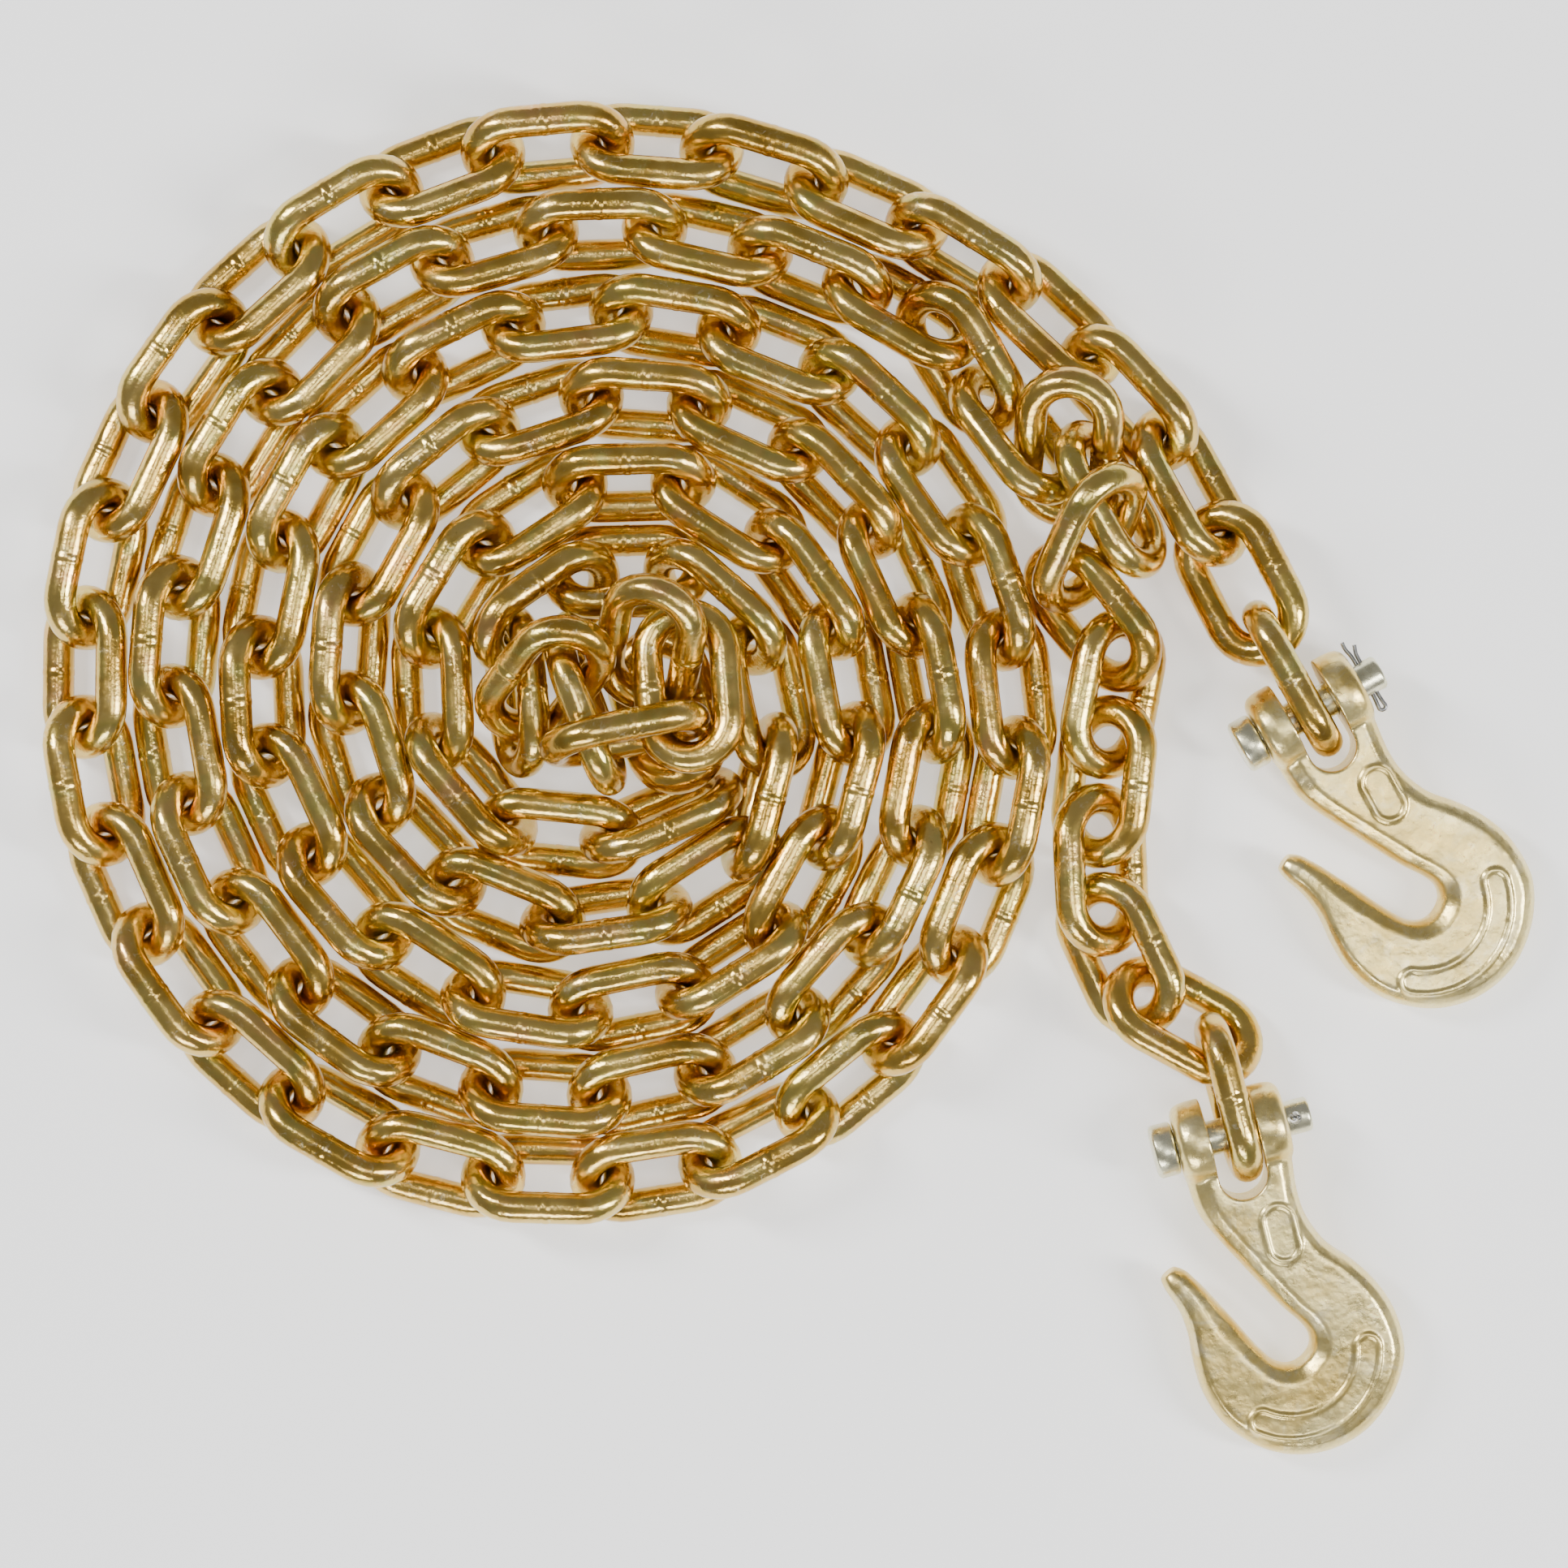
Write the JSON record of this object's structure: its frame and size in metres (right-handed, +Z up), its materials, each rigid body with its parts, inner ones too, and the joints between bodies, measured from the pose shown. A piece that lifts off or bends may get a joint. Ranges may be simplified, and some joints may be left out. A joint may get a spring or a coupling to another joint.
{
  "type": "load binder chain",
  "caption": "Tie-down chain of welded oval links in a flat double coil, with a clevis grab hook, headed pin and split pin at each end.",
  "frame": {"origin": "centre of the bounding box on the plane the chain lies on", "axes": "+Z up from the floor, +X towards the side where both hooks lie, +Y towards the side where the two tails leave the coil"},
  "size_m": [0.4596, 0.4164, 0.053],
  "materials": {
    "chain_zinc": "glossy yellow chromate over zinc",
    "hook_zinc": "satin pale yellow zinc on a forging",
    "pin_zinc": "bright zinc",
    "cotter_steel": "bright steel wire"
  },
  "bodies": {
    "coil": {"coil_a_01": "chain_zinc", "coil_a_02": "chain_zinc", "coil_a_03": "chain_zinc", "coil_a_04": "chain_zinc", "coil_a_05": "chain_zinc", "coil_a_06": "chain_zinc", "coil_a_07": "chain_zinc", "coil_a_08": "chain_zinc", "coil_a_09": "chain_zinc", "coil_a_10": "chain_zinc", "coil_a_11": "chain_zinc", "coil_a_12": "chain_zinc", "coil_a_13": "chain_zinc", "coil_a_14": "chain_zinc", "coil_a_15": "chain_zinc", "coil_a_16": "chain_zinc", "coil_a_17": "chain_zinc", "coil_a_18": "chain_zinc", "coil_b_01": "chain_zinc", "coil_b_02": "chain_zinc", "coil_b_03": "chain_zinc", "coil_b_04": "chain_zinc", "coil_b_05": "chain_zinc", "coil_b_06": "chain_zinc", "coil_b_07": "chain_zinc", "coil_b_08": "chain_zinc", "coil_b_09": "chain_zinc", "coil_b_10": "chain_zinc", "coil_b_11": "chain_zinc", "coil_b_12": "chain_zinc", "coil_b_13": "chain_zinc", "coil_b_14": "chain_zinc", "fold_link_1": "chain_zinc", "fold_link_2": "chain_zinc", "fold_link_3": "chain_zinc", "fold_link_4": "chain_zinc", "fold_link_5": "chain_zinc", "fold_link_6": "chain_zinc", "fold_link_7": "chain_zinc", "pile_link_1": "chain_zinc", "pile_link_2": "chain_zinc", "pile_link_3": "chain_zinc", "pile_link_4": "chain_zinc"},
    "lead_b_link_1": {"lead_b_link_1": "chain_zinc"},
    "lead_b_link_2": {"lead_b_link_2": "chain_zinc"},
    "lead_b_link_3": {"lead_b_link_3": "chain_zinc"},
    "lead_b_link_4": {"lead_b_link_4": "chain_zinc"},
    "lead_b_link_5": {"lead_b_link_5": "chain_zinc"},
    "lead_b_link_6": {"lead_b_link_6": "chain_zinc"},
    "tail_a_link_1": {"tail_a_link_1": "chain_zinc"},
    "tail_a_link_2": {"tail_a_link_2": "chain_zinc"},
    "tail_a_link_3": {"tail_a_link_3": "chain_zinc"},
    "tail_a_link_4": {"tail_a_link_4": "chain_zinc"},
    "tail_a_link_5": {"tail_a_link_5": "chain_zinc"},
    "hook_a": {"hook_a": "hook_zinc"},
    "clevis_pin_a": {"clevis_pin_a": "pin_zinc", "cotter_pin_a": "cotter_steel"},
    "hook_b": {"hook_b": "hook_zinc"},
    "clevis_pin_b": {"clevis_pin_b": "pin_zinc", "cotter_pin_b": "cotter_steel"}
  },
  "joints": [
    {"name": "tail_a_1_pivot", "type": "hinge", "parent": "coil", "child": "tail_a_link_1", "pos_m": [0.07273, 0.14947, 0.01496], "axis": [-0.2774, -0.4524, -0.8476], "range_deg": [-3, 0]},
    {"name": "tail_a_2_pivot", "type": "hinge", "parent": "tail_a_link_1", "child": "tail_a_link_2", "pos_m": [0.09674, 0.12569, 0.01353], "axis": [-0.5096, -0.5398, 0.67], "range_deg": [0, 10]},
    {"name": "tail_a_3_pivot", "type": "hinge", "parent": "tail_a_link_2", "child": "tail_a_link_3", "pos_m": [0.11916, 0.10048, 0.01477], "axis": [-0.4673, -0.4509, -0.7605], "range_deg": [0, 5]},
    {"name": "tail_a_4_pivot", "type": "hinge", "parent": "tail_a_link_3", "child": "tail_a_link_4", "pos_m": [0.13412, 0.0701, 0.01441], "axis": [-0.581, -0.3013, 0.7561], "range_deg": [0, 10]},
    {"name": "tail_a_5_pivot", "type": "hinge", "parent": "tail_a_link_4", "child": "tail_a_link_5", "pos_m": [0.14905, 0.04029, 0.01672], "axis": [-0.8096, -0.439, -0.3896], "range_deg": [0, 12]},
    {"name": "lead_b_1_pivot", "type": "hinge", "parent": "coil", "child": "lead_b_link_1", "pos_m": [0.10704, 0.03271, 0.01583], "axis": [-0.5605, -0.4685, -0.6829], "range_deg": [0, 2]},
    {"name": "lead_b_2_pivot", "type": "hinge", "parent": "lead_b_link_1", "child": "lead_b_link_2", "pos_m": [0.096, 0.00456, 0.01187], "axis": [-0.8088, 0.1586, 0.5663], "range_deg": [0, 6]},
    {"name": "lead_b_3_pivot", "type": "hinge", "parent": "lead_b_link_2", "child": "lead_b_link_3", "pos_m": [0.09482, -0.02284, 0.01138], "axis": [-0.832, 0.0935, -0.5468], "range_deg": [0, 8]},
    {"name": "lead_b_4_pivot", "type": "hinge", "parent": "lead_b_link_3", "child": "lead_b_link_4", "pos_m": [0.09709, -0.05005, 0.01235], "axis": [-0.8211, -0.0235, 0.5703], "range_deg": [0, 3]},
    {"name": "lead_b_5_pivot", "type": "hinge", "parent": "lead_b_link_4", "child": "lead_b_link_5", "pos_m": [0.11148, -0.07427, 0.01065], "axis": [-0.7947, -0.3663, -0.484], "range_deg": [0, 10]},
    {"name": "lead_b_6_pivot", "type": "hinge", "parent": "lead_b_link_5", "child": "lead_b_link_6", "pos_m": [0.14074, -0.08503, 0.01141], "axis": [-0.3609, -0.7189, 0.594], "range_deg": [-2, 3]},
    {"name": "hook_a_swing", "type": "hinge", "parent": "tail_a_link_5", "child": "hook_a", "pos_m": [0.16002, 0.02102, 0.0162], "axis": [-0.8746, -0.4848, 0], "range_deg": [0, 100]},
    {"name": "clevis_pin_a_spin", "type": "hinge", "parent": "hook_a", "child": "clevis_pin_a", "pos_m": [0.16002, 0.02102, 0.0162], "axis": [0.8746, 0.4848, 0], "continuous": true},
    {"name": "hook_b_swing", "type": "hinge", "parent": "lead_b_link_6", "child": "hook_b", "pos_m": [0.13598, -0.10878, 0.0162], "axis": [-0.9686, -0.2487, 0], "range_deg": [0, 100]},
    {"name": "clevis_pin_b_spin", "type": "hinge", "parent": "hook_b", "child": "clevis_pin_b", "pos_m": [0.13598, -0.10878, 0.0162], "axis": [0.9686, 0.2487, 0], "continuous": true}
  ]
}
